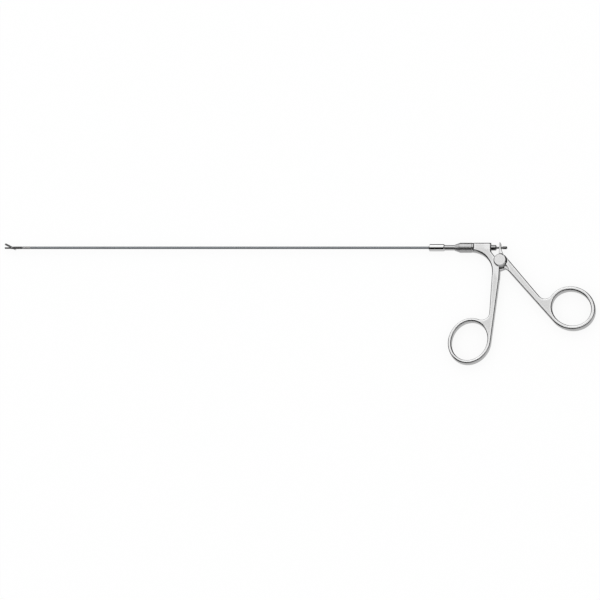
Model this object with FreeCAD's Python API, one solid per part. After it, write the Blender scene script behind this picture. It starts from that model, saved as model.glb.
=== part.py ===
import FreeCAD, Part
import math
import os

# Endoscopic scissors, drawn open and lying flat. Sizes are in millimetres, angles in degrees.
# X runs along the shaft towards the handle, Y is up in the plane of the rings, Z is the hinge direction.
# The origin is on the shaft's axis, at the front face of the ferrule, where the working length ends.

# Shaft and jaw sizes
working_length = 280.0
shaft_radius = 5.0 / 6.0
tube_bore_radius = 0.50
wire_radius = 0.30
spigot_length = 12.0
spigot_radius = 0.66
sleeve_length = 5.2
sleeve_radius = 0.87
sleeve_bore_radius = 0.63
sleeve_joint_length = 2.4
seam_bevel_length = 0.3
seam_bevel_depth = 0.1
head_length = 6.2
blade_length = 4.9
cheek_radius = 0.78
blade_slot_half = 0.21
blade_half_thickness = 0.19
lower_blade_edge = 0.10
lower_blade_straight = 2.2
lower_blade_sweep = 4.35
upper_blade_overlap = 0.34
upper_tip_lead = 0.4
blade_tip_height = 0.78
blade_tip_round = 0.4
blade_back_height = 0.79
boss_drop = 0.03
jaw_rivet_radius = 0.24
drive_pin_radius = 0.16
yoke_radius = 0.46
yoke_nose = 0.13
yoke_shank_length = 1.5
wire_socket_depth = 1.0
pin_reach_open = 0.75
tang_wall = 0.17
tang_top = 0.80
tang_shoulder_x = 1.7
blade_opening = 27.0

# Ferrule, neck and hub sizes
ferrule_length = 10.2
ferrule_radius = 2.33
ferrule_chamfer = 0.45
neck_radius = 1.72
neck_flange_radius = 2.35
neck_flange_length = 2.0
hub_front = 16.9
hub_nose_length = 3.3
hub_nose_radius = 1.95
hub_radius = 3.25
hub_chamfer = 0.25
hub_wall_front = 4.6
thread_radius = 2.42
ring_length = 0.9
ring_edge_round = 0.22
ring_drop = 0.08
body_front = 29.4

# Body and joint sizes
handle_half_depth = 2.6
body_rear = 41.0
body_rear_low = -2.9
body_rear_hollow = 2.4
body_rear_round = 0.6
pivot_x = 47.48
pivot_y = -9.15
eye_radius = 4.5
tongue_radius = 4.6
tongue_half_depth = 0.93
slot_half_depth = 1.0
saw_radius = 18.7
saw_clearance = 0.35
disk_radius = 4.2
disk_thickness = 1.15
disk_bevel = 0.55
stud_radius = 1.5
stud_thread_radius = 1.15
stud_end_recess = 0.2
stud_shoulder = 0.6
disk_back_bevel = 0.15
nut_radius = 2.5
nut_thickness = 1.0
nut_slot_width = 0.6
nut_slot_depth = 0.45

# Rod sizes
rod_radius = 0.65
rod_neck_radius = 0.38
rod_tip_radius = 0.45
rod_tip_length = 2.2
rod_front = 26.0
rod_socket_depth = 4.0
rod_bore_radius = 0.85
rod_end_length = 0.75
cap_radius = 0.95
cap_length = 3.1
cap_round = 0.8
cap_bore_depth = 2.35
bush_flange_length = 3.4
bush_flange_radius = 1.8
bush_chamfer = 0.5
bush_shank_length = 3.8
bush_shank_radius = 1.38

# Handle sizes, with the rings as ovals of equal size
ring_long = 13.3
ring_short = 11.65
ring_round = 1.0
shank_round = 0.85
finger_ring_x = 29.5
finger_ring_y = -63.86
finger_ring_angle = 251.5
finger_ring_width = 2.3
finger_shank_top_x = 47.4
finger_shank_top_y = -20.6
finger_shank_left_x = 42.46
finger_shank_left_y = -17.5
finger_shank_lean = 1.25
finger_crotch_radius = 5.0
finger_crotch_depth = 0.7
eye_root_left = 1.2
eye_root_drop = 0.4
gooseneck_fade = 0.6
gooseneck_bend = 25.0
gooseneck_margin = 2.0
gooseneck_start = -12.0
gooseneck_span = 110.0
thumb_ring_x = 95.84
thumb_ring_y = -41.5
thumb_ring_angle = -26.0
thumb_ring_width = 2.7
thumb_upper_x = 50.6
thumb_upper_y = -5.94
thumb_upper_angle = -49.2
thumb_upper_length = 47.0
thumb_lower_x = 52.5
thumb_lower_y = -15.5
thumb_root_x = 2.2
thumb_root_y = -4.2
thumb_crotch_radius = 5.0
thumb_crotch_distance = 43.0
closing_angle = 12.0

# Lever finger sizes
lever_lean = -3.3
lever_top = 3.2
lever_half_depth = 1.7
lever_top_half_width = 0.45
lever_flank_half_width = 0.58
lever_root_height = 3.7
lever_root_left = 0.9
lever_root_right = 2.2
lever_crown_radius = 0.65
lever_flank_drop = 0.35
fork_half_gap = 0.45
fork_depth_below_rod = 0.9
heel_reach = 7.15
heel_forward = 1.0
heel_corner_x = 0.6
heel_corner_y = 0.8
heel_notch_x = 3.6
heel_notch_y = -5.45
heel_groove_radius = 5.4
heel_groove_floor = -0.4
heel_groove_start = -104.0
heel_groove_end = -50.0
relief_radius = 7.4
relief_x = 46.2
relief_y = -17.5

# Clearances
running_clearance = 0.04
slide_clearance = 0.05
seat_clearance = 0.01
shoulder_clearance = 0.05
joint_clearance = 0.15
blade_clearance = 0.02

# Places worked out from the sizes above
blade_tip_x = -working_length
jaw_x = blade_tip_x + blade_length
upper_blade_reach = blade_length + upper_tip_lead
head_rear = jaw_x + cheek_radius + head_length
tube_front = head_rear + sleeve_length
lever_arm = -pivot_y
lean = math.radians(lever_lean)
closing = math.radians(closing_angle)
crown_x = pivot_x + lever_arm * math.tan(lean)
crown_arm = lever_arm / math.cos(lean)
rod_travel = crown_arm * (math.sin(lean + closing) - math.sin(lean))
pin_reach_closed = pin_reach_open + rod_travel
cam_slot_half = drive_pin_radius + blade_clearance
tang_end_radius = cam_slot_half + tang_wall
head_slot_rear = jaw_x + pin_reach_closed + tang_end_radius + joint_clearance
yoke_slot_rear = jaw_x + pin_reach_open + rod_travel + tang_end_radius + joint_clearance
yoke_rear = yoke_slot_rear + yoke_shank_length
left_shoulder = crown_x - lever_crown_radius - shoulder_clearance
right_shoulder = crown_x + lever_crown_radius + shoulder_clearance
tall = 2.0 * handle_half_depth
UP = FreeCAD.Vector(0, 0, 1)
ALONG = FreeCAD.Vector(1, 0, 0)


def vec(x, y, z=0.0):
    return FreeCAD.Vector(x, y, z)


def polar(x, y, radius, angle):
    """Point at a radius and an angle in degrees from (x, y)."""
    turn = math.radians(angle)
    return vec(x + radius * math.cos(turn), y + radius * math.sin(turn))


def bar(radius, start, end):
    """Round bar along X, on the shaft's axis."""
    return Part.makeCylinder(radius, end - start, vec(start, 0), ALONG)


def post(radius, x, y, bottom, top):
    """Round post along Z."""
    return Part.makeCylinder(radius, top - bottom, vec(x, y, bottom), UP)


def turned(*stations):
    """Solid turned about the shaft's axis from (x, radius) stations."""
    points = [vec(x, radius) for x, radius in stations]
    face = Part.Face(Part.makePolygon(points + points[:1]))
    return face.revolve(vec(0, 0), ALONG, 360)


def turned_post(x, y, *stations):
    """Solid turned about the upright axis through (x, y) from (radius, z) stations."""
    points = [vec(x + radius, y, z) for radius, z in stations]
    face = Part.Face(Part.makePolygon(points + points[:1]))
    return face.revolve(vec(x, y), UP, 360)


def polygon(*points):
    return Part.Face(Part.makePolygon(list(points) + [points[0]]))


def lines_through(*points):
    return [Part.makeLine(a, b) for a, b in zip(points[:-1], points[1:])]


def arc(start, middle, end):
    return Part.Arc(start, middle, end).toShape()


def corner_arc(before, corner, after, radius):
    """Start, middle and end of the arc that rounds a corner between two straight sides."""
    back = (before - corner).normalize()
    on = (after - corner).normalize()
    half = math.acos(back.dot(on)) / 2
    reach = radius / math.tan(half)
    centre = corner + (back + on).normalize() * (radius / math.sin(half))
    middle = centre + (corner - centre).normalize() * radius
    return corner + back * reach, middle, corner + on * reach


def slab(face, bottom, top):
    """Flat face in the XY plane, raised from bottom to top."""
    return face.translated(vec(0, 0, bottom)).extrude(vec(0, 0, top - bottom))


def plate(face, half_depth):
    return slab(face, -half_depth, half_depth)


def oval(x, y, long_radius, short_radius, angle):
    """Oval face with its long axis turned by the angle."""
    curve = Part.Ellipse(vec(0, 0), long_radius, short_radius)
    face = Part.Face(Part.Wire([curve.toShape()]))
    face.rotate(vec(0, 0), UP, angle)
    face.translate(vec(x, y))
    return face


def tangent_point(from_x, from_y, x, y, long_radius, short_radius, angle, side):
    """Point where a line from (from_x, from_y) touches an oval; side is +1 or -1."""
    turn = math.radians(angle)
    run = (from_x - x) * math.cos(turn) + (from_y - y) * math.sin(turn)
    rise = (from_y - y) * math.cos(turn) - (from_x - x) * math.sin(turn)
    across = run / long_radius
    along = rise / short_radius
    spread = math.acos(1.0 / math.hypot(across, along))
    reach = math.atan2(along, across) + side * spread
    long_part = long_radius * math.cos(reach)
    short_part = short_radius * math.sin(reach)
    return vec(x + long_part * math.cos(turn) - short_part * math.sin(turn),
               y + long_part * math.sin(turn) + short_part * math.cos(turn))


def nearest_upright(shape, near):
    """Edge along Z that lies nearest to a point."""
    uprights = [edge for edge in shape.Edges if edge.BoundBox.XLength + edge.BoundBox.YLength < 1e-6]
    return min(uprights, key=lambda edge: (edge.CenterOfMass - near).Length)


def flat_edges(shape, level, keep):
    """Edges that lie in the planes z = level and z = -level and that keep() accepts."""
    found = []
    for edge in shape.Edges:
        box = edge.BoundBox
        lies_flat = box.ZLength < 1e-6 and abs(abs(box.ZMin) - level) < 1e-6
        if lies_flat and keep(edge):
            found.append(edge)
    return found


def fused(first, *others):
    return first.fuse(list(others)).removeSplitter()


def jaw_head():
    """Forked head. Its front cheek runs on into the fixed lower blade."""
    barrel = turned((blade_tip_x, 0), (blade_tip_x, shaft_radius),
                    (head_rear - seam_bevel_length, shaft_radius),
                    (head_rear, shaft_radius - seam_bevel_depth), (head_rear, 0))
    spigot_rear = tube_front - sleeve_joint_length - joint_clearance
    spigot = bar(sleeve_bore_radius - seat_clearance, head_rear, spigot_rear)
    yoke_bore_front = jaw_x + pin_reach_open - drive_pin_radius - yoke_nose - slide_clearance
    bore = bar(yoke_radius + running_clearance, yoke_bore_front, spigot_rear)
    wide = 2 * shaft_radius
    slot = Part.makeBox(head_slot_rear - blade_tip_x, wide, 2 * blade_slot_half,
                        vec(blade_tip_x, -shaft_radius, -blade_slot_half))
    back = Part.makeBox(jaw_x - blade_tip_x, wide, wide,
                        vec(blade_tip_x, -shaft_radius, -wide - blade_slot_half))
    back = back.cut(post(cheek_radius, jaw_x, 0, -2 * wide, wide))
    nose = round_nose(blade_tip_x, shaft_radius)
    rivet_hole = post(jaw_rivet_radius + seat_clearance, jaw_x, 0, -wide, wide)
    head = barrel.fuse(spigot).cut(bore).cut(slot).cut(back)
    return head.cut(above_lower_blade()).cut(nose).cut(rivet_hole).removeSplitter()


def above_lower_blade():
    """Waste above the fixed blade: level along its edge, then sweeping up to the head's full height."""
    edge_end = blade_tip_x + lower_blade_straight
    rise = shaft_radius - lower_blade_edge
    sweep_radius = (lower_blade_sweep ** 2 + rise ** 2) / (2 * rise)
    sweep_end = edge_end + lower_blade_sweep
    wide = 2 * shaft_radius
    low = -shaft_radius
    level = Part.makeBox(edge_end - blade_tip_x, wide, wide, vec(blade_tip_x, lower_blade_edge, low))
    sweep = Part.makeBox(sweep_end - edge_end, wide, wide, vec(edge_end, lower_blade_edge, low))
    sweep_cylinder = post(sweep_radius, edge_end, lower_blade_edge + sweep_radius, low, shaft_radius)
    return level.fuse(sweep.common(sweep_cylinder))


def round_nose(tip_x, radius):
    """Waste that leaves a rounded tip on a bar."""
    block = bar(2 * radius, tip_x - radius, tip_x + radius)
    ball = Part.makeSphere(radius, vec(tip_x + radius, 0))
    return block.cut(ball)


def cam_point(part, offset):
    """Point of the cam slot's centre line, moved sideways by the offset, in the closed blade's frame.

    The blade turns by the same share of its opening as the pin has moved of its travel, so the
    centre line is a spiral whose reach and angle both change evenly.
    """
    reach = pin_reach_open + part * rod_travel
    angle = math.radians(blade_opening) * (1 - part)
    turn_rate = -math.radians(blade_opening) / rod_travel
    tangent = vec(math.cos(angle) - reach * turn_rate * math.sin(angle),
                  math.sin(angle) + reach * turn_rate * math.cos(angle))
    tangent.normalize()
    return vec(reach * math.cos(angle) - offset * tangent.y,
               reach * math.sin(angle) + offset * tangent.x)


def spiral_band(half_width, count=9):
    """Face along the cam's centre line, through count points on each side."""
    upper = [cam_point(i / (count - 1), half_width) for i in range(count)]
    lower = [cam_point(i / (count - 1), -half_width) for i in range(count)]
    top_curve = Part.BSplineCurve()
    top_curve.interpolate(upper)
    low_curve = Part.BSplineCurve()
    low_curve.interpolate(lower)
    return Part.Face(Part.Wire([top_curve.toShape(), Part.makeLine(upper[-1], lower[-1]),
                                low_curve.toShape(), Part.makeLine(lower[0], upper[0])]))


def cam_slot():
    """Waste of the cam slot through the tang."""
    start = cam_point(0, 0)
    end = cam_point(1, 0)
    channel = plate(spiral_band(cam_slot_half), shaft_radius)
    ends = [post(cam_slot_half, place.x, place.y, -shaft_radius, shaft_radius) for place in (start, end)]
    return channel.fuse(ends)


def moving_blade():
    """Upper blade, made in the closed place and then turned open about the jaw rivet.

    The blade proper is thicker than its tang and fills the round section on the back, up to the
    head's rear cheek.
    """
    end = cam_point(1, 0)
    half = blade_half_thickness
    tang = plate(polygon(vec(0, -tang_end_radius), vec(end.x, -tang_end_radius), vec(end.x, tang_end_radius),
                         vec(tang_shoulder_x, tang_top), vec(0, tang_top)), half)
    tang = tang.fuse([post(tang_end_radius, end.x, end.y, -half, half),
                      post(cheek_radius - boss_drop, 0, 0, -half, half)])
    face = blade_profile()
    thin = plate(face, half)
    thick = slab(face, -shaft_radius, half)
    thick = thick.cut(post(cheek_radius + slide_clearance, 0, 0, -shaft_radius, shaft_radius))
    blade = fused(tang, thin, thick)
    blade = blade.common(bar(shaft_radius - seat_clearance, -upper_blade_reach, upper_blade_reach))
    blade = blade.cut(cam_slot()).cut(post(jaw_rivet_radius + running_clearance, 0, 0, -half, half))
    blade.rotate(vec(0, 0), UP, -blade_opening)
    blade.translate(vec(jaw_x, 0))
    return blade.removeSplitter()


def blade_profile():
    """Side profile of the closed upper blade, with a level cutting edge and a rounded tip."""
    tip = -upper_blade_reach
    low = -upper_blade_overlap
    under_round = vec(tip, blade_tip_height - blade_tip_round)
    after_round = vec(tip + blade_tip_round, blade_tip_height)
    on_round = polar(after_round.x, under_round.y, blade_tip_round, 135)
    corners = [after_round, vec(-cheek_radius, blade_back_height), vec(0, tang_top), vec(0, low),
               vec(tip, low), under_round]
    return Part.Face(Part.Wire(lines_through(*corners) + [arc(under_round, on_round, after_round)]))


def jaw_pivot():
    half = math.sqrt(shaft_radius ** 2 - jaw_rivet_radius ** 2) - seat_clearance
    return post(jaw_rivet_radius, jaw_x, 0, -half, half)


def drive_yoke():
    """Fork on the wire's front end, with the tang between its two plates."""
    front = jaw_x + pin_reach_open - drive_pin_radius - yoke_nose
    fork = bar(yoke_radius, front, yoke_rear)
    slot = Part.makeBox(yoke_slot_rear - front, 2 * yoke_radius, 2 * blade_slot_half,
                        vec(front, -yoke_radius, -blade_slot_half))
    pin_hole = post(drive_pin_radius + seat_clearance, jaw_x + pin_reach_open, 0, -yoke_radius, yoke_radius)
    wire_hole = bar(wire_radius + seat_clearance, yoke_rear - wire_socket_depth, yoke_rear)
    return fork.cut(slot).cut(pin_hole).cut(wire_hole)


def drive_pin():
    half = math.sqrt(yoke_radius ** 2 - drive_pin_radius ** 2) - seat_clearance
    return post(drive_pin_radius, jaw_x + pin_reach_open, 0, -half, half)


def head_sleeve():
    """Sleeve with bevelled ends over the spigots of the head and the tube."""
    low = sleeve_radius - seam_bevel_depth
    sleeve = turned((head_rear, 0), (head_rear, low), (head_rear + seam_bevel_length, sleeve_radius),
                    (tube_front - seam_bevel_length, sleeve_radius), (tube_front, low), (tube_front, 0))
    return sleeve.cut(bar(sleeve_bore_radius, head_rear, tube_front))


def shaft_tube():
    """Tube with a turned-down end in the head sleeve and another in the ferrule."""
    front_end = bar(sleeve_bore_radius - seat_clearance, tube_front - sleeve_joint_length, tube_front)
    middle = turned((tube_front, 0), (tube_front, shaft_radius - seam_bevel_depth),
                    (tube_front + seam_bevel_length, shaft_radius), (0, shaft_radius), (0, 0))
    rear_end = bar(spigot_radius, 0, spigot_length)
    tube = fused(front_end, middle, rear_end)
    return tube.cut(bar(tube_bore_radius, tube_front - sleeve_joint_length, spigot_length))


def pull_wire():
    return bar(wire_radius, yoke_rear - wire_socket_depth, rod_front + rod_socket_depth)


def shaft_ferrule():
    c = ferrule_chamfer
    body = turned((0, 0), (0, ferrule_radius - c), (c, ferrule_radius), (ferrule_length - c, ferrule_radius),
                  (ferrule_length, ferrule_radius - c), (ferrule_length, 0))
    return body.cut(bar(spigot_radius + seat_clearance, 0, ferrule_length))


def shaft_neck():
    """Neck with the flange that the hub nut draws against the body's nose."""
    flange_front = hub_front + hub_wall_front + seat_clearance
    neck = fused(bar(neck_radius, ferrule_length, flange_front),
                 bar(neck_flange_radius, flange_front, flange_front + neck_flange_length))
    socket = bar(spigot_radius + seat_clearance, ferrule_length, spigot_length)
    wire_way = bar(tube_bore_radius, spigot_length, flange_front + neck_flange_length)
    return neck.cut(socket).cut(wire_way)


def hub_nut():
    ring_front = body_front - ring_length
    r = hub_radius
    nose_end = hub_front + hub_nose_length
    c = hub_chamfer
    outside = turned((hub_front, 0), (hub_front, hub_nose_radius), (nose_end, r - c / 2),
                     (nose_end + c, r), (ring_front - c, r), (ring_front, r - c), (ring_front, 0))
    neck_way = bar(neck_radius + slide_clearance, hub_front, ring_front)
    thread = bar(thread_radius + slide_clearance, hub_front + hub_wall_front, ring_front)
    return outside.cut(neck_way).cut(thread)


def hub_ring():
    ring_front = body_front - ring_length
    ring = bar(hub_radius - ring_drop, ring_front, body_front)
    rims = [edge for edge in ring.Edges if edge.BoundBox.XLength < 1e-6]
    ring = ring.makeFillet(ring_edge_round, rims)
    return ring.cut(bar(thread_radius + slide_clearance, ring_front, body_front))


def gooseneck():
    """Centre and radius of the arc under the body, tangent to the finger shank's left edge."""
    lean_angle = math.radians(finger_shank_lean)
    sideways = vec(-math.cos(lean_angle), math.sin(lean_angle))
    touch = vec(finger_shank_left_x, finger_shank_left_y)
    start = vec(body_front, -hub_radius + ring_drop)
    gap = start - touch
    radius = gap.dot(gap) / (2 * sideways.dot(gap))
    return touch + sideways * radius, radius


def shank_left(distance):
    """Point on the finger shank's left edge, at a distance below the gooseneck's end."""
    lean_angle = math.radians(finger_shank_lean)
    return vec(finger_shank_left_x - distance * math.sin(lean_angle),
               finger_shank_left_y - distance * math.cos(lean_angle))


def finger_outline():
    """Side profile of the body, the shank and the outside of the finger ring."""
    centre, radius = gooseneck()
    start = vec(body_front, -hub_radius + ring_drop)
    touch = shank_left(0)
    middle_angle = (math.atan2(start.y - centre.y, start.x - centre.x)
                    + math.atan2(touch.y - centre.y, touch.x - centre.x)) / 2
    middle = centre + vec(math.cos(middle_angle), math.sin(middle_angle)) * radius
    low_left = shank_left(finger_shank_left_y - finger_ring_y - ring_short / 2)
    long_radius = ring_long + finger_ring_width
    short_radius = ring_short + finger_ring_width
    touching = tangent_point(finger_shank_top_x, finger_shank_top_y, finger_ring_x, finger_ring_y,
                             long_radius, short_radius, finger_ring_angle, -1)
    below_eye = vec(finger_shank_top_x, pivot_y - eye_radius / 2)
    in_eye = vec(pivot_x - eye_root_left, pivot_y - eye_root_drop)
    rear_top = vec(body_rear, hub_radius)
    hollow = corner_arc(in_eye, vec(body_rear, body_rear_low), rear_top, body_rear_hollow)
    shank = lines_through(touch, low_left, vec(finger_ring_x, finger_ring_y), touching,
                          vec(finger_shank_top_x, finger_shank_top_y), below_eye, in_eye, hollow[0])
    top = lines_through(hollow[2], rear_top, vec(body_front, hub_radius), start)
    body = Part.Face(Part.Wire(shank + [arc(*hollow)] + top + [arc(start, middle, touch)]))
    eye = Part.Face(Part.Wire([Part.Circle(vec(pivot_x, pivot_y), UP, eye_radius).toShape()]))
    ring = oval(finger_ring_x, finger_ring_y, long_radius, short_radius, finger_ring_angle)
    return [body, eye, ring]


def rounded_handle(outlines, crotch, crotch_radius, ring_x, ring_y, ring_angle):
    """Plate of some outlines with its crotch filled, its ring pierced and its long edges rounded."""
    blank = fused(*[plate(outline, handle_half_depth) for outline in outlines])
    blank = blank.makeFillet(crotch_radius, [nearest_upright(blank, crotch)])
    blank = blank.makeFillet(shank_round, flat_edges(blank, handle_half_depth, lambda edge: True))
    hole = plate(oval(ring_x, ring_y, ring_long, ring_short, ring_angle), tall)
    blank = blank.cut(hole)

    def in_hole(edge):
        apart = edge.BoundBox.Center - vec(ring_x, ring_y, edge.BoundBox.ZMin)
        return apart.Length < 1 and edge.BoundBox.XLength < 2 * ring_long + 1

    return blank.makeFillet(ring_round, flat_edges(blank, handle_half_depth, in_hole))


def fixed_handle():
    """Body, two cheeks, shank and finger ring, with the saw-cut slot for the tongue."""
    crotch = shank_left(finger_shank_left_y - finger_ring_y - finger_crotch_depth * ring_short)
    handle = rounded_handle(finger_outline(), crotch, finger_crotch_radius,
                            finger_ring_x, finger_ring_y, finger_ring_angle)
    body_length = body_rear - body_front
    over = Part.makeBox(body_length, 2 * hub_radius, tall, vec(body_front, 0, -handle_half_depth))
    round_body = bar(hub_radius, body_front, body_rear)
    rear_edge = max(round_body.Edges, key=lambda edge: edge.CenterOfMass.x)
    handle = handle.cut(over.cut(round_body.makeFillet(body_rear_round, [rear_edge])))
    handle = handle.cut(gooseneck_rounding())
    saw_x = pivot_x - tongue_radius - saw_clearance + saw_radius
    handle = handle.cut(post(saw_radius, saw_x, pivot_y, -slot_half_depth, slot_half_depth))
    nose_front = hub_front + hub_wall_front + neck_flange_length + 2 * seat_clearance
    handle = handle.fuse(bar(thread_radius, nose_front, body_front))
    handle = handle.cut(bar(rod_bore_radius, nose_front, body_rear))
    handle = handle.cut(bar(bush_shank_radius + seat_clearance, body_rear - bush_shank_length, body_rear))
    handle = handle.cut(post(stud_radius + seat_clearance, pivot_x, pivot_y, 0, tall))
    handle = handle.cut(post(stud_thread_radius + seat_clearance, pivot_x, pivot_y, -tall, 0))
    nut_seat = post(nut_radius + seat_clearance, pivot_x, pivot_y, -tall, nut_thickness - handle_half_depth)
    return handle.cut(nut_seat).removeSplitter()


def gooseneck_rounding():
    """Waste that rounds the body's underside like a bar and fades out towards the shank."""
    centre, radius = gooseneck()
    middle = radius + hub_radius
    half_chord = math.sqrt(hub_radius ** 2 - handle_half_depth ** 2)
    waste = []
    for side in (1, -1):
        low = vec(middle - hub_radius, 0, 0)
        bend_turn = math.radians(gooseneck_bend)
        bend = vec(middle - hub_radius * math.cos(bend_turn), 0, side * hub_radius * math.sin(bend_turn))
        high = vec(middle - half_chord, 0, side * handle_half_depth)
        corner = vec(radius - gooseneck_margin, 0, side * handle_half_depth)
        root = vec(radius - gooseneck_margin, 0, 0)
        face = Part.Face(Part.Wire([arc(low, bend, high)] + lines_through(high, corner, root, low)))
        turned_waste = face.revolve(vec(0, 0), UP, gooseneck_span)
        turned_waste.rotate(vec(0, 0), UP, gooseneck_start)
        turned_waste.translate(vec(centre.x - gooseneck_fade, centre.y))
        waste.append(turned_waste)
    return waste[0].fuse(waste[1])


def thumb_outline():
    """Side profile of the thumb shank and the outside of its ring."""
    long_radius = ring_long + thumb_ring_width
    short_radius = ring_short + thumb_ring_width
    touching = tangent_point(thumb_lower_x, thumb_lower_y, thumb_ring_x, thumb_ring_y,
                             long_radius, short_radius, thumb_ring_angle, 1)
    upper_end = polar(thumb_upper_x, thumb_upper_y, thumb_upper_length, thumb_upper_angle)
    root = vec(pivot_x + thumb_root_x, pivot_y + thumb_root_y)
    shank = polygon(vec(thumb_upper_x, thumb_upper_y), upper_end, vec(thumb_ring_x, thumb_ring_y), touching,
                    vec(thumb_lower_x, thumb_lower_y), root, vec(pivot_x, pivot_y))
    return [shank, oval(thumb_ring_x, thumb_ring_y, long_radius, short_radius, thumb_ring_angle)]


def lever_point(side, height):
    """Point beside the lever's leaning centre line, at a height above the pivot."""
    return vec(pivot_x + side * math.cos(lean) + height * math.sin(lean),
               pivot_y - side * math.sin(lean) + height * math.cos(lean))


def lever_finger():
    """Tapered finger with a crowned flank at the rod and a fork open at its top.

    The flanks stay narrow down to below the rod's collars, so that the collars clear them when
    the finger leans over.
    """
    tip = lever_arm + lever_top - lever_top_half_width
    flank = crown_arm - rod_radius - lever_flank_drop
    half = lever_top_half_width
    wide = lever_flank_half_width
    finger = polygon(lever_point(-lever_root_left, lever_root_height), lever_point(-wide, flank),
                     lever_point(-half, tip), lever_point(half, tip), lever_point(wide, flank),
                     lever_point(lever_root_right, lever_root_height))
    top = lever_point(0, tip)
    crown = lever_point(0, crown_arm)
    blank = fused(plate(finger, lever_half_depth),
                  post(lever_top_half_width, top.x, top.y, -lever_half_depth, lever_half_depth),
                  post(lever_crown_radius, crown.x, crown.y, -lever_half_depth, lever_half_depth))
    gap_bottom = -fork_depth_below_rod
    gap_left = crown_x - 4 * lever_crown_radius
    gap_width = 8 * lever_crown_radius
    gap = Part.makeBox(gap_width, lever_top + fork_depth_below_rod + 1, 2 * fork_half_gap,
                       vec(gap_left, gap_bottom, -fork_half_gap))
    root = Part.makeCylinder(fork_half_gap, gap_width, vec(gap_left, gap_bottom, 0), ALONG)
    return blank.cut(gap.fuse(root))


def tongue():
    """Round tongue between the cheeks, with the heel that enters the saw-cut slot."""
    left = pivot_x - heel_forward
    low = pivot_y - heel_reach
    heel = polygon(vec(thumb_lower_x, thumb_lower_y), vec(pivot_x + heel_notch_x, pivot_y + heel_notch_y),
                   vec(left + heel_corner_x, low), vec(left, low + heel_corner_y),
                   vec(pivot_x - tongue_radius + 1, pivot_y - 1), vec(pivot_x, pivot_y))
    return fused(plate(heel, tongue_half_depth),
                 post(tongue_radius, pivot_x, pivot_y, -tongue_half_depth, tongue_half_depth))


def heel_groove():
    """Waste of the curved groove between the round tongue and the heel's stop face."""
    reach = 2 * heel_groove_radius
    wedge = polygon(vec(pivot_x, pivot_y), polar(pivot_x, pivot_y, reach, heel_groove_start),
                    polar(pivot_x, pivot_y, reach, heel_groove_end))
    outer = post(heel_groove_radius, pivot_x, pivot_y, heel_groove_floor, tall)
    inner = post(tongue_radius, pivot_x, pivot_y, heel_groove_floor, tall)
    return outer.cut(inner).common(slab(wedge, heel_groove_floor, tall))


def thumb_handle():
    """Lever finger, tongue, shank and thumb ring in one piece."""
    crotch = polar(thumb_upper_x, thumb_upper_y, thumb_crotch_distance, thumb_upper_angle)
    handle = rounded_handle(thumb_outline(), crotch, thumb_crotch_radius,
                            thumb_ring_x, thumb_ring_y, thumb_ring_angle)
    recess = post(eye_radius + joint_clearance, pivot_x, pivot_y, tongue_half_depth, tall)
    relief = post(relief_radius, relief_x, relief_y, tongue_half_depth, tall)
    lower = tall + tongue_half_depth
    low_recess = recess.translated(vec(0, 0, -lower))
    low_relief = relief.translated(vec(0, 0, -lower))
    handle = handle.cut([recess, relief, low_recess, low_relief])
    finger = lever_finger().cut([recess, low_recess])
    handle = fused(handle, tongue().cut(heel_groove()), finger)
    return handle.cut(post(stud_radius + running_clearance, pivot_x, pivot_y, -tall, tall))


def pivot_stud():
    """Flat disk head with a bevelled rim, a bearing shank and a threaded end."""
    face = handle_half_depth + seat_clearance
    top = face + disk_thickness
    nut_face = nut_thickness - handle_half_depth
    shoulder = nut_face + stud_shoulder
    end = -handle_half_depth + stud_end_recess
    b = disk_back_bevel
    return turned_post(pivot_x, pivot_y, (0, top), (disk_radius - disk_bevel, top),
                       (disk_radius, top - disk_bevel), (disk_radius, face + b), (disk_radius - b, face),
                       (stud_radius, face), (stud_radius, shoulder), (stud_thread_radius, shoulder),
                       (stud_thread_radius, end), (0, end))


def pivot_nut():
    bottom = -handle_half_depth
    top = nut_thickness - handle_half_depth - seat_clearance
    nut = post(nut_radius, pivot_x, pivot_y, bottom, top)
    nut = nut.cut(post(stud_thread_radius + seat_clearance, pivot_x, pivot_y, bottom, top))
    slot = Part.makeBox(2 * nut_radius + 1, nut_slot_width, nut_slot_depth,
                        vec(pivot_x - nut_radius - 0.5, pivot_y - nut_slot_width / 2, bottom))
    return nut.cut(slot)


def drive_rod():
    """Rod with a bore for the wire, a neck for the lever's fork and a threaded end for the cap nut."""
    collar_end = right_shoulder + rod_end_length
    rod = fused(bar(rod_radius, rod_front, left_shoulder),
                bar(rod_neck_radius, left_shoulder, right_shoulder),
                bar(rod_radius, right_shoulder, collar_end),
                bar(rod_tip_radius, collar_end, collar_end + rod_tip_length))
    return rod.cut(bar(wire_radius + seat_clearance, rod_front, rod_front + rod_socket_depth))


def rod_end_nut():
    start = right_shoulder + rod_end_length + seat_clearance
    cap = bar(cap_radius, start, start + cap_length)
    end_edge = max(cap.Edges, key=lambda edge: edge.CenterOfMass.x)
    cap = cap.makeFillet(min(cap_round, 0.95 * cap_radius), [end_edge])
    return cap.cut(bar(rod_tip_radius + seat_clearance, start, start + cap_bore_depth))


def guide_bush():
    front = body_rear - bush_shank_length
    flange_front = body_rear + seat_clearance
    flange_rear = flange_front + bush_flange_length
    r = bush_flange_radius
    c = bush_chamfer
    bush = turned((front, 0), (front, bush_shank_radius), (flange_front, bush_shank_radius),
                  (flange_front, r), (flange_rear - c, r), (flange_rear, r - c), (flange_rear, 0))
    return bush.cut(bar(rod_radius + slide_clearance, front, flange_rear))


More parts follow.
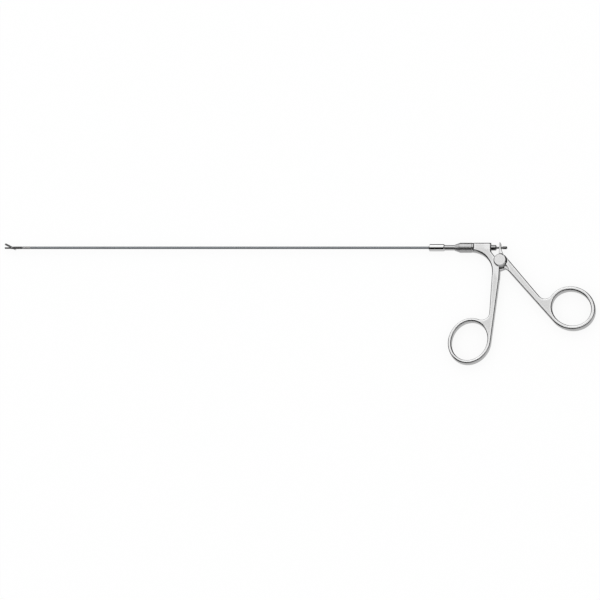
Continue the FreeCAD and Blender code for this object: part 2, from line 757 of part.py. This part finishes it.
nodes = {
    "jaw_head": jaw_head,
    "moving_blade": moving_blade,
    "jaw_pivot": jaw_pivot,
    "drive_yoke": drive_yoke,
    "drive_pin": drive_pin,
    "head_sleeve": head_sleeve,
    "shaft_tube": shaft_tube,
    "pull_wire": pull_wire,
    "shaft_ferrule": shaft_ferrule,
    "shaft_neck": shaft_neck,
    "hub_nut": hub_nut,
    "hub_ring": hub_ring,
    "fixed_handle": fixed_handle,
    "thumb_handle": thumb_handle,
    "pivot_stud": pivot_stud,
    "pivot_nut": pivot_nut,
    "guide_bush": guide_bush,
    "drive_rod": drive_rod,
    "rod_end_nut": rod_end_nut,
}

os.makedirs("parts", exist_ok=True)
for name, make in nodes.items():
    shape = make()
    solids = shape.Solids
    print(name, "solids", len(solids), "valid", shape.isValid(), "volume", round(shape.Volume, 3))
    shape = solids[0] if len(solids) == 1 else Part.makeCompound(solids)
    shape.exportStep("parts/" + name + ".step")
print("rod travel", round(rod_travel, 4), "mm; pin reach", round(pin_reach_closed, 3),
      "; ratio", round(rod_travel / closing, 5), "mm per radian")
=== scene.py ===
import logging
import math
from dataclasses import dataclass
from enum import Enum

import bpy
from mathutils import Matrix, Vector


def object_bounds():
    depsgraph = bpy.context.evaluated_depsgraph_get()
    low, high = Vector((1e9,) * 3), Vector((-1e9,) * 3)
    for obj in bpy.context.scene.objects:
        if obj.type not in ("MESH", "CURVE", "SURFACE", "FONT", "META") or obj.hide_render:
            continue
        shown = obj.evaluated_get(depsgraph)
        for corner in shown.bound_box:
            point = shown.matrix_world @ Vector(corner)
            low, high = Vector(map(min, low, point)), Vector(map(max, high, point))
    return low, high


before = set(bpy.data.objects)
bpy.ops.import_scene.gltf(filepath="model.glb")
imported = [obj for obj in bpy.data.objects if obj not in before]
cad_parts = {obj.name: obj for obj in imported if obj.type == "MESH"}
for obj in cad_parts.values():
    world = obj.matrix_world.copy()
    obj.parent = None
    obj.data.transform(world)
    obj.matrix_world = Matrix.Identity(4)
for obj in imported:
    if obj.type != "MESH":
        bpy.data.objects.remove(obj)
CAD_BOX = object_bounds()

log = logging.getLogger("scissors")
MM = 0.001

# Two values between which a mask runs from 0 to 1
Span = tuple[float, float]


# Shader building


class Signal:
    """A shader socket, or a plain number, that can be used in sums."""

    def __init__(self, net: "Net", source: "bpy.types.NodeSocket | float") -> None:
        """Wrap a source.

        Args:
            net: The material's node net.
            source: An output socket or a number.
        """
        self.net = net
        self.source = source

    def __add__(self, other: "Signal | float") -> "Signal":
        """Sum of two signals."""
        return self.net.math("ADD", self, other)

    def __radd__(self, other: float) -> "Signal":
        """Sum with a number on the left."""
        return self.net.math("ADD", other, self)

    def __rsub__(self, other: float) -> "Signal":
        """Difference from a number on the left."""
        return self.net.math("SUBTRACT", other, self)

    def __mul__(self, other: "Signal | float") -> "Signal":
        """Product of two signals."""
        return self.net.math("MULTIPLY", self, other)

    def __rmul__(self, other: float) -> "Signal":
        """Product with a number on the left."""
        return self.net.math("MULTIPLY", other, self)

    def __abs__(self) -> "Signal":
        """Size of a signal without its sign."""
        return self.net.math("ABSOLUTE", self)

    def step(self, low: float, high: float) -> "Signal":
        """Smooth step of the signal.

        Args:
            low: Value at which the step starts from 0.
            high: Value at which the step has reached 1.

        Returns:
            The step, from 0 to 1.
        """
        settings = {"interpolation_type": "SMOOTHSTEP"}
        inputs = {"Value": self, "From Min": low, "From Max": high}
        return self.net.node("ShaderNodeMapRange", settings, inputs, "Result")


class Net:
    """Node net of one material."""

    OCCLUSION_SAMPLES = 8
    ROUNDING_SAMPLES = 16
    NOISE_ROUGHNESS = 0.6

    def __init__(self, name: str) -> None:
        """Start an empty material.

        Args:
            name: The material's name.
        """
        self.material = bpy.data.materials.new(name)
        self.material.use_nodes = True
        self.tree = self.material.node_tree
        self.tree.nodes.clear()

    def connect(self, node: bpy.types.Node, key: "str | int", value: "Signal | tuple | float") -> None:
        """Link or set one input.

        Args:
            node: The node that gets the input.
            key: Name or index of the input.
            value: A signal, a number or a tuple of numbers.
        """
        if isinstance(value, Signal):
            value = value.source
        if isinstance(value, bpy.types.NodeSocket):
            self.tree.links.new(value, node.inputs[key])
        else:
            node.inputs[key].default_value = value

    def node(self, kind: str, settings: dict, inputs: dict, output: "str | int" = 0) -> Signal:
        """Add one node.

        Args:
            kind: The node's type.
            settings: Properties of the node, set before its inputs.
            inputs: Input names or indices with their values or signals.
            output: Name or index of the output to return.

        Returns:
            The chosen output.
        """
        node = self.tree.nodes.new(kind)
        for key, value in settings.items():
            setattr(node, key, value)
        for key, value in inputs.items():
            self.connect(node, key, value)
        return Signal(self, node.outputs[output])

    def math(self, operation: str, first: "Signal | float", second: "Signal | float" = 0.0) -> Signal:
        """Add a Math node.

        Args:
            operation: The node's operation.
            first: First operand.
            second: Second operand.

        Returns:
            The result.
        """
        return self.node("ShaderNodeMath", {"operation": operation}, {0: first, 1: second})

    def blend(self, share: "Signal | float", low: "Signal | tuple", high: "Signal | tuple") -> Signal:
        """Mix two colours.

        Args:
            share: Share of the second colour, from 0 to 1.
            low: First colour.
            high: Second colour.

        Returns:
            The mixed colour.
        """
        return self.node("ShaderNodeMix", {"data_type": "RGBA"}, {0: share, 6: low, 7: high}, 2)

    def place(self) -> Signal:
        """Object coordinates in metres."""
        return self.node("ShaderNodeTexCoord", {}, {}, "Object")

    def upright(self, normal: "Signal | None" = None) -> Signal:
        """How far a direction points along Z, up or down.

        Args:
            normal: The direction, or nothing for the surface's own.

        Returns:
            1 on a level face, 0 on a side wall.
        """
        if normal is None:
            normal = self.node("ShaderNodeTexCoord", {}, {}, "Normal")
        return abs(self.node("ShaderNodeSeparateXYZ", {}, {0: normal}, "Z"))

    def toward(self, aim: tuple[float, float, float]) -> Signal:
        """Cosine of the angle between a point's direction from the origin and another one.

        Args:
            aim: The other direction, of length 1.

        Returns:
            The cosine.
        """
        point = self.node("ShaderNodeVectorMath", {"operation": "NORMALIZE"}, {0: self.place()}, "Vector")
        return self.node("ShaderNodeVectorMath", {"operation": "DOT_PRODUCT"}, {0: point, 1: aim}, "Value")

    def grain(self, turn: float, lengths: tuple[float, float, float], detail: float = 4.0) -> Signal:
        """Noise stretched along a direction.

        Args:
            turn: Angle about Z of the grain's first direction, in degrees.
            lengths: Length of the grain along its three directions, in metres.
            detail: Noise detail.

        Returns:
            Noise from 0 to 1.
        """
        settings = {"vector_type": "TEXTURE"}
        turned = self.node("ShaderNodeMapping", settings,
                           {0: self.place(), 2: (0.0, 0.0, math.radians(turn)), 3: lengths})
        inputs = {"Vector": turned, "Scale": 1.0, "Detail": detail, "Roughness": self.NOISE_ROUGHNESS}
        return self.node("ShaderNodeTexNoise", {"noise_dimensions": "3D"}, inputs, "Fac")

    def cloud(self, size: float, detail: float) -> Signal:
        """Noise of the same size in all directions.

        Args:
            size: Size of its clouds in metres.
            detail: Noise detail.

        Returns:
            Noise from 0 to 1.
        """
        return self.grain(0.0, (size, size, size), detail)

    def shading(self, reach: float, inside: bool) -> Signal:
        """Share of the directions that are blocked near a point.

        Args:
            reach: How far away a wall is felt, in metres.
            inside: Look into the piece itself and not out of it.

        Returns:
            0 where nothing is near, rising to 1.
        """
        settings = {"inside": inside, "only_local": inside, "samples": self.OCCLUSION_SAMPLES}
        return 1.0 - self.node("ShaderNodeAmbientOcclusion", settings, {"Distance": reach}, "AO")

    def edge(self, reach: float) -> Signal:
        """Nearness to an outer edge: 0 on open faces, about a half on a square edge."""
        return self.shading(reach, True)

    def crevice(self, reach: float) -> Signal:
        """Depth inside a corner or gap: 0 on open faces, near 1 in a narrow gap."""
        return self.shading(reach, False)

    def rounded(self, radius: float) -> Signal:
        """Surface direction with its corners rounded over.

        Args:
            radius: Radius of the rounding in metres.

        Returns:
            The direction.
        """
        return self.node("ShaderNodeBevel", {"samples": self.ROUNDING_SAMPLES}, {"Radius": radius}, "Normal")

    def bump(self, height: Signal, depth: float, strength: float,
             normal: "Signal | None" = None) -> Signal:
        """Bump from a height from 0 to 1.

        Args:
            height: Height signal.
            depth: Depth in metres.
            strength: Bump strength.
            normal: Direction to start from, where it isn't the surface's own.

        Returns:
            The bumped direction.
        """
        inputs = {"Strength": strength, "Distance": depth, "Height": height}
        if normal is not None:
            inputs["Normal"] = normal
        return self.node("ShaderNodeBump", {}, inputs, "Normal")

    def metal(self, color: Signal, roughness: Signal, normal: Signal) -> bpy.types.Material:
        """Close the net with a metallic shader.

        Args:
            color: Base colour.
            roughness: Roughness.
            normal: Bumped direction.

        Returns:
            The finished material.
        """
        inputs = {"Metallic": 1.0, "Base Color": color, "Roughness": roughness, "Normal": normal}
        return self.surface(self.node("ShaderNodeBsdfPrincipled", {}, inputs))

    def surface(self, shader: Signal) -> bpy.types.Material:
        """Link a shader to the material's surface.

        Args:
            shader: The shader.

        Returns:
            The finished material.
        """
        output = self.tree.nodes.new("ShaderNodeOutputMaterial")
        self.connect(output, "Surface", shader)
        return self.material


def grey(level: float, warmth: float = 0.0) -> tuple[float, float, float, float]:
    """Near-grey colour.

    Args:
        level: Brightness, from 0 to 1.
        warmth: Shift towards red where positive, towards blue where negative.

    Returns:
        The colour.
    """
    return (level * (1.0 + warmth), level, level * (1.0 - warmth), 1.0)


# Finishes


class Axis(Enum):
    """Axis about which a piece was turned."""

    SHAFT = "X"
    PIVOT = "Z"


@dataclass(frozen=True)
class ForgedSteel:
    """Satin-brushed forging with smooth, rounded edges. Painted light: side walls and gaps painted darker as
    shade, rounded edges painted darker as reflection, and a pale band along the edges painted as a
    highlight.
    """

    face: float = 0.79
    face_warmth: float = 0.003
    # Side walls are painted darker than the faces: painted shade.
    wall: float = 0.68
    # Pale tone of the painted highlight along the faces' edges.
    edge: float = 0.95
    # Darker tone painted on the rounded edges: a painted dark reflection.
    round_shade: float = 0.50
    # Near-black painted shade for gaps and corners.
    dark: float = 0.06
    roughness: float = 0.30
    edge_roughness: float = 0.08
    soft_radius: float = 0.9 * MM
    flat_span: Span = (0.96, 0.998)
    round_shade_span: Span = (0.80, 0.97)
    wall_span: Span = (0.15, 0.55)
    highlight_reach: float = 2.0 * MM
    highlight_span: Span = (0.02, 0.25)
    gap_shade_reach: float = 1.2 * MM
    gap_shade_span: Span = (0.35, 0.95)
    grain_turn: float = 40.0
    grain_length: float = 6.0 * MM
    grain_width: float = 0.05 * MM
    grain_span: Span = (0.35, 0.75)
    grain_share: float = 0.22
    grain_tone: float = 0.5
    grain_roughness: float = 0.06
    grain_depth: float = 0.005 * MM
    grain_strength: float = 0.5
    cloud_size: float = 8.0 * MM
    cloud_detail: float = 2.0
    cloud_roughness: float = 0.04

    def material(self, name: str) -> bpy.types.Material:
        """Make the material.

        Args:
            name: The material's name.

        Returns:
            The finished material.
        """
        net = Net(name)
        soft = net.rounded(self.soft_radius)
        upright = net.upright(soft)
        on_face = upright.step(*self.flat_span)
        on_wall = 1.0 - upright.step(*self.wall_span)
        grain = net.grain(self.grain_turn, (self.grain_length, self.grain_width, self.grain_width))
        cloud = net.cloud(self.cloud_size, self.cloud_detail)
        # Painted highlight: a pale band along each face's edge, found by occlusion looking into the piece.
        edge_highlight = net.edge(self.highlight_reach).step(*self.highlight_span)
        # Painted shade: occlusion from outside the piece finds corners and the gaps between parts.
        gap = net.crevice(self.gap_shade_reach).step(*self.gap_shade_span)
        color = net.blend(edge_highlight, grey(self.face, self.face_warmth), grey(self.edge))
        # Painted dark reflection: where the rounded edge tilts away from the face, the colour turns to the
        # darker round tone.
        color = net.blend(upright.step(*self.round_shade_span), grey(self.round_shade), color)
        # Painted shade: side walls take the darker wall tone.
        color = net.blend(on_wall, color, grey(self.wall))
        lines = grain.step(*self.grain_span) * self.grain_share
        color = net.blend(lines, color, grey(self.grain_tone * self.face))
        # Painted shade is laid into the gaps and corners.
        color = net.blend(gap, color, grey(self.dark))
        satin = self.edge_roughness + (self.roughness - self.edge_roughness) * on_face
        rough = satin + self.grain_roughness * grain * on_face + self.cloud_roughness * cloud
        return net.metal(color, rough, net.bump(grain, self.grain_depth, self.grain_strength, soft))


@dataclass(frozen=True)
class TurnedSteel:
    """Steel turned on a lathe: fine rings across X, or across Z on the pivot's pieces."""

    level: float = 0.55
    roughness: float = 0.28
    axis: Axis = Axis.SHAFT
    ring_pitch: float = 0.09 * MM
    ring_length: float = 40.0 * MM
    ring_detail: float = 2.0
    ring_span: Span = (0.3, 0.8)
    ring_tone: float = 0.82
    ring_roughness: float = 0.08
    ring_depth: float = 0.004 * MM
    ring_strength: float = 0.6
    cloud_size: float = 3.0 * MM
    cloud_detail: float = 3.0
    cloud_low: float = 0.8
    cloud_gain: float = 0.4

    def material(self, name: str) -> bpy.types.Material:
        """Make the material.

        Args:
            name: The material's name.

        Returns:
            The finished material.
        """
        net = Net(name)
        if self.axis is Axis.PIVOT:
            lengths = (self.ring_length, self.ring_length, self.ring_pitch)
        else:
            lengths = (self.ring_pitch, self.ring_length, self.ring_length)
        rings = net.grain(0.0, lengths, self.ring_detail)
        cloud = net.cloud(self.cloud_size, self.cloud_detail)
        color = net.blend(rings.step(*self.ring_span), grey(self.level), grey(self.ring_tone * self.level))
        rough = self.roughness * (self.cloud_low + self.cloud_gain * cloud) + self.ring_roughness * rings
        return net.metal(color, rough, net.bump(rings, self.ring_depth, self.ring_strength))


@dataclass(frozen=True)
class PolishedSteel:
    """Bright polished steel with a few fine wiping scratches."""

    level: float = 0.84
    roughness: float = 0.07
    scratch_turn: float = 25.0
    scratch_length: float = 5.0 * MM
    scratch_width: float = 0.03 * MM
    scratch_detail: float = 2.0
    scratch_span: Span = (0.62, 0.72)
    scratch_share: float = 0.3
    scratch_tone: float = 0.7
    scratch_roughness: float = 0.08
    scratch_depth: float = 0.002 * MM
    scratch_strength: float = 0.5
    cloud_size: float = 2.0 * MM
    cloud_detail: float = 3.0
    cloud_roughness: float = 0.05

    def material(self, name: str) -> bpy.types.Material:
        """Make the material.

        Args:
            name: The material's name.

        Returns:
            The finished material.
        """
        net = Net(name)
        lengths = (self.scratch_length, self.scratch_width, self.scratch_width)
        scratches = net.grain(self.scratch_turn, lengths, self.scratch_detail).step(*self.scratch_span)
        cloud = net.cloud(self.cloud_size, self.cloud_detail)
        share = scratches * self.scratch_share
        color = net.blend(share, grey(self.level), grey(self.scratch_tone * self.level))
        rough = self.roughness + self.cloud_roughness * cloud + self.scratch_roughness * scratches
        return net.metal(color, rough, net.bump(scratches, self.scratch_depth, self.scratch_strength))


@dataclass(frozen=True)
class DrawnSteel:
    """Drawn and polished tube or wire: hair lines along X."""

    level: float = 0.60
    roughness: float = 0.18
    warmth: float = -0.02
    line_length: float = 12.0 * MM
    line_width: float = 0.05 * MM
    line_detail: float = 3.0
    line_span: Span = (0.35, 0.8)
    line_tone: float = 0.78
    line_roughness: float = 0.08
    line_depth: float = 0.003 * MM
    line_strength: float = 0.5
    cloud_length: float = 6.0 * MM
    cloud_width: float = 0.6 * MM
    cloud_detail: float = 3.0
    cloud_low: float = 0.7
    cloud_gain: float = 0.5

    def material(self, name: str) -> bpy.types.Material:
        """Make the material.

        Args:
            name: The material's name.

        Returns:
            The finished material.
        """
        net = Net(name)
        lines = net.grain(0.0, (self.line_length, self.line_width, self.line_width), self.line_detail)
        cloud = net.grain(0.0, (self.cloud_length, self.cloud_width, self.cloud_width), self.cloud_detail)
        color = net.blend(lines.step(*self.line_span), grey(self.level, self.warmth),
                          grey(self.line_tone * self.level, self.warmth))
        rough = self.roughness * (self.cloud_low + self.cloud_gain * cloud) + self.line_roughness * lines
        return net.metal(color, rough, net.bump(lines, self.line_depth, self.line_strength))


@dataclass(frozen=True)
class BladeSteel:
    """Dark hardened steel, ground across the blades, with slightly darker flats; the lighter bevels are a
    painted highlight.
    """

    level: float = 0.16
    flat_level: float = 0.12
    flat_span: Span = (0.97, 1.0)
    roughness: float = 0.30
    grind_turn: float = 15.0
    grind_width: float = 0.035 * MM
    grind_length: float = 1.6 * MM
    grind_detail: float = 2.0
    grind_span: Span = (0.35, 0.8)
    grind_share: float = 0.5
    grind_tone: float = 0.6
    grind_roughness: float = 0.12
    grind_depth: float = 0.003 * MM
    grind_strength: float = 0.5

    def material(self, name: str) -> bpy.types.Material:
        """Make the material.

        Args:
            name: The material's name.

        Returns:
            The finished material.
        """
        net = Net(name)
        flat = net.upright().step(*self.flat_span)
        lengths = (self.grind_width, self.grind_length, self.grind_length)
        lines = net.grain(self.grind_turn, lengths, self.grind_detail)
        # Painted highlight: the bevels keep the lighter level, and the flats take the darker one.
        color = net.blend(flat, grey(self.level), grey(self.flat_level))
        share = lines.step(*self.grind_span) * self.grind_share
        color = net.blend(share, color, grey(self.grind_tone * self.level))
        rough = self.roughness + self.grind_roughness * lines
        return net.metal(color, rough, net.bump(lines, self.grind_depth, self.grind_strength))


# The object's sub-assemblies


def dress(names: tuple[str, ...], material: bpy.types.Material) -> None:
    """Give a material to some CAD nodes.

    Args:
        names: Node names.
        material: Material for all their slots.
    """
    for name in names:
        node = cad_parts[name]
        if not node.material_slots:
            node.data.materials.append(material)
        for slot in node.material_slots:
            slot.material = material
        log.info("dressed %s with %s", name, material.name)


@dataclass
class Handles:
    """The two forged handles, each brushed at its own angle."""

    fixed: ForgedSteel = ForgedSteel()
    thumb: ForgedSteel = ForgedSteel(grain_turn=-45.0)

    def build(self) -> None:
        """Dress both forgings."""
        dress(("fixed_handle",), self.fixed.material("forged_fixed"))
        dress(("thumb_handle",), self.thumb.material("forged_thumb"))


@dataclass
class PivotJoint:
    """Stud with its disk head, and the slotted nut behind it."""

    # The stud's painted edge highlight and its rounding keep to a narrow band at its rim.
    stud: ForgedSteel = ForgedSteel(face=0.86, wall=0.6, grain_turn=58.0, grain_width=0.2 * MM,
                                    highlight_reach=0.35 * MM, soft_radius=0.35 * MM)
    nut: TurnedSteel = TurnedSteel(level=0.6, axis=Axis.PIVOT)

    def build(self) -> None:
        """Dress the stud and its nut."""
        dress(("pivot_stud",), self.stud.material("stud_steel"))
        dress(("pivot_nut",), self.nut.material("nut_steel"))


@dataclass
class Hub:
    """Union nut, ring, neck and ferrule on the shaft's axis."""

    nut: TurnedSteel = TurnedSteel(level=0.62, roughness=0.32, ring_depth=0.002 * MM)
    ring: PolishedSteel = PolishedSteel(level=0.64, roughness=0.14)
    neck: PolishedSteel = PolishedSteel(level=0.52, roughness=0.09)
    ferrule: PolishedSteel = PolishedSteel()

    def build(self) -> None:
        """Dress the turned pieces."""
        dress(("hub_nut",), self.nut.material("hub_steel"))
        dress(("hub_ring",), self.ring.material("ring_polish"))
        dress(("shaft_neck",), self.neck.material("neck_steel"))
        dress(("shaft_ferrule",), self.ferrule.material("ferrule_polish"))


@dataclass
class Shaft:
    """Long tube, its head sleeve and the wire inside."""

    tube: DrawnSteel = DrawnSteel(level=0.38, warmth=-0.06)
    wire: DrawnSteel = DrawnSteel(level=0.55)
    sleeve: DrawnSteel = DrawnSteel(level=0.5, warmth=0.0)

    def build(self) -> None:
        """Dress the tube, the wire and the sleeve."""
        dress(("shaft_tube",), self.tube.material("tube_steel"))
        dress(("pull_wire",), self.wire.material("wire_steel"))
        dress(("head_sleeve",), self.sleeve.material("sleeve_steel"))


@dataclass
class Jaws:
    """Head with its fixed blade, the moving blade, its rivet and the yoke."""

    blades: BladeSteel = BladeSteel()
    rivet: PolishedSteel = PolishedSteel(level=0.7, roughness=0.2)
    yoke: DrawnSteel = DrawnSteel(level=0.5)

    def build(self) -> None:
        """Dress the jaw pieces."""
        dress(("jaw_head", "moving_blade"), self.blades.material("blade_steel"))
        dress(("jaw_pivot", "drive_pin"), self.rivet.material("rivet_steel"))
        dress(("drive_yoke",), self.yoke.material("yoke_steel"))


@dataclass
class Rod:
    """Rod through the lever's fork, with its bush and cap nut."""

    bush: TurnedSteel = TurnedSteel(level=0.42, roughness=0.12)
    rod: PolishedSteel = PolishedSteel(level=0.24, roughness=0.12)
    cap: TurnedSteel = TurnedSteel(level=0.24, roughness=0.14)

    def build(self) -> None:
        """Dress the rod's pieces."""
        dress(("guide_bush",), self.bush.material("bush_steel"))
        dress(("drive_rod",), self.rod.material("rod_polish"))
        dress(("rod_end_nut",), self.cap.material("cap_steel"))


# Stage, light and camera


@dataclass(frozen=True)
class Patch:
    """Round patch of the tent: its place, size, edge and brightness, with angles in degrees."""

    name: str
    zenith: float
    azimuth: float
    radius: float
    softness: float
    level: float

    def span(self) -> Span:
        """Cosines at the patch's outer and inner border."""
        outer = math.cos(math.radians(self.radius + self.softness))
        inner = math.cos(math.radians(self.radius - self.softness))
        return (outer, inner)


def direction(zenith: float, azimuth: float) -> tuple[float, float, float]:
    """Direction from two angles.

    Args:
        zenith: Angle from straight up, in degrees.
        azimuth: Angle from +X towards +Y, in degrees.

    Returns:
        The direction, of length 1.
    """
    fall = math.radians(zenith)
    turn = math.radians(azimuth)
    return (math.sin(fall) * math.cos(turn), math.sin(fall) * math.sin(turn), math.cos(fall))


@dataclass
class Studio:
    """Pale floor, soft lamp, a tent for the steel to reflect, and the camera.

    The columns, rows and pixels are those of the photograph. The azimuth and the tilt are the camera's
    angles off the ring plane's normal, in degrees.
    """

    photo_pixels: float = 600.0
    ferrule_column: float = 429.2
    shaft_row: float = 247.8
    pixel: float = 0.652 * MM
    azimuth: float = 9.0
    tilt: float = 16.4
    distance: float = 2.0
    clip_end: float = 10.0
    floor_side: float = 12.0
    floor_gap: float = 0.02 * MM
    floor_level: float = 0.95
    floor_glow: float = 0.88
    lamp_place: tuple[float, float, float] = (-0.8, 2.2, 1.4)
    lamp_side: float = 1.6
    lamp_watts: float = 4.0
    tent_radius: float = 3.0
    tent_segments: int = 48
    tent_rings: int = 24
    sky: float = 1.0
    ground: float = 0.62
    ground_span: Span = (-0.5, 0.05)
    patches: tuple[Patch, ...] = (
        Patch("camera side", 36.0, 250.0, 35.0, 5.0, 0.005),
        Patch("front right", 42.0, 321.0, 24.0, 6.0, 0.01),
        Patch("right", 74.0, 28.0, 38.0, 6.0, 0.01),
        Patch("back", 116.0, 78.0, 38.0, 6.0, 0.03),
        Patch("left", 84.0, 182.0, 33.0, 6.0, 0.04),
        Patch("lower left", 72.0, 218.0, 24.0, 6.0, 0.02),
    )

    def towards_camera(self) -> Vector:
        """Direction from the object to the camera."""
        across = math.radians(self.azimuth)
        down = math.radians(self.tilt)
        return Vector((math.sin(across) * math.cos(down), -math.sin(down),
                       math.cos(across) * math.cos(down)))

    def build_camera(self) -> None:
        """Create the camera so that the shaft lies level at the photograph's row."""
        back = self.towards_camera()
        right = (Vector((1, 0, 0)) - back * back.x).normalized()
        up = back.cross(right)
        middle = self.photo_pixels / 2
        aim = (right * (middle - self.ferrule_column) + up * (self.shaft_row - middle)) * self.pixel
        data = bpy.data.cameras.new("camera")
        data.type = "ORTHO"
        data.ortho_scale = self.photo_pixels * self.pixel
        data.clip_end = self.clip_end
        camera = bpy.data.objects.new("camera", data)
        bpy.context.scene.collection.objects.link(camera)
        turn = Matrix((right, up, back)).transposed().to_4x4()
        camera.matrix_world = Matrix.Translation(aim + back * self.distance) @ turn
        bpy.context.scene.camera = camera
        log.info("camera sees %.1f mm", data.ortho_scale / MM)

    def build_world(self) -> None:
        """Make a plain white world."""
        world = bpy.data.worlds.new("studio")
        bpy.context.scene.world = world
        world.use_nodes = True
        tree = world.node_tree
        tree.nodes.clear()
        background = tree.nodes.new("ShaderNodeBackground")
        background.inputs["Color"].default_value = grey(1.0)
        output = tree.nodes.new("ShaderNodeOutputWorld")
        tree.links.new(background.outputs[0], output.inputs["Surface"])

    def build_floor(self) -> None:
        """Add the pale floor just under the object, nearly white to the camera, with its shadow."""
        low, _ = CAD_BOX
        bpy.ops.mesh.primitive_plane_add(size=self.floor_side, location=(0.0, 0.0, low[2] - self.floor_gap))
        floor = bpy.context.object
        floor.name = "floor"
        net = Net("floor_white")
        diffuse = net.node("ShaderNodeBsdfDiffuse", {}, {"Color": grey(self.floor_level)})
        glow = net.node("ShaderNodeEmission", {}, {"Color": grey(1.0), "Strength": 1.0})
        paths = net.tree.nodes.new("ShaderNodeLightPath")
        seen = Signal(net, paths.outputs["Is Camera Ray"]) + Signal(net, paths.outputs["Is Glossy Ray"])
        seen = (seen + Signal(net, paths.outputs["Is Transmission Ray"])) * self.floor_glow
        mixed = net.node("ShaderNodeMixShader", {}, {0: seen, 1: diffuse, 2: glow})
        floor.data.materials.append(net.surface(mixed))
        floor.visible_glossy = False

    def build_tent(self) -> None:
        """Surround the object with a tent that only its steel sees, with soft dark patches."""
        bpy.ops.mesh.primitive_uv_sphere_add(segments=self.tent_segments, ring_count=self.tent_rings,
                                             radius=self.tent_radius)
        tent = bpy.context.object
        tent.name = "tent"
        net = Net("tent_cloth")
        lowness = net.toward((0.0, 0.0, -1.0)).step(*self.ground_span)
        color = net.blend(lowness, grey(self.sky), grey(self.ground))
        for patch in self.patches:
            share = net.toward(direction(patch.zenith, patch.azimuth)).step(*patch.span())
            color = net.blend(share, color, grey(patch.level))
            log.info("tent has a dark patch at the %s", patch.name)
        glow = net.node("ShaderNodeEmission", {}, {"Color": color, "Strength": 1.0})
        tent.data.materials.append(net.surface(glow))
        tent.visible_camera = False
        tent.visible_diffuse = False
        tent.visible_shadow = False

    def build_lamp(self) -> None:
        """Add a square soft lamp that points at the origin."""
        data = bpy.data.lights.new("lamp_top", "AREA")
        data.shape = "SQUARE"
        data.size = self.lamp_side
        data.energy = self.lamp_watts
        lamp = bpy.data.objects.new("lamp_top", data)
        bpy.context.scene.collection.objects.link(lamp)
        turn = Vector(self.lamp_place).to_track_quat("Z", "Y").to_matrix().to_4x4()
        lamp.matrix_world = Matrix.Translation(self.lamp_place) @ turn

    def build(self) -> None:
        """Set up the whole studio."""
        view = bpy.context.scene.view_settings
        view.view_transform = "Standard"
        self.build_world()
        self.build_floor()
        self.build_tent()
        self.build_lamp()
        self.build_camera()


def main() -> None:
    """Build the sub-assemblies in order and then the studio."""
    logging.basicConfig(level=logging.INFO, format="%(name)s: %(message)s")
    bpy.ops.object.select_all(action="DESELECT")
    for assembly in (Handles(), PivotJoint(), Hub(), Shaft(), Jaws(), Rod(), Studio()):
        assembly.build()
        log.info("built %s", type(assembly).__name__)


if __name__ == "__main__":
    main()
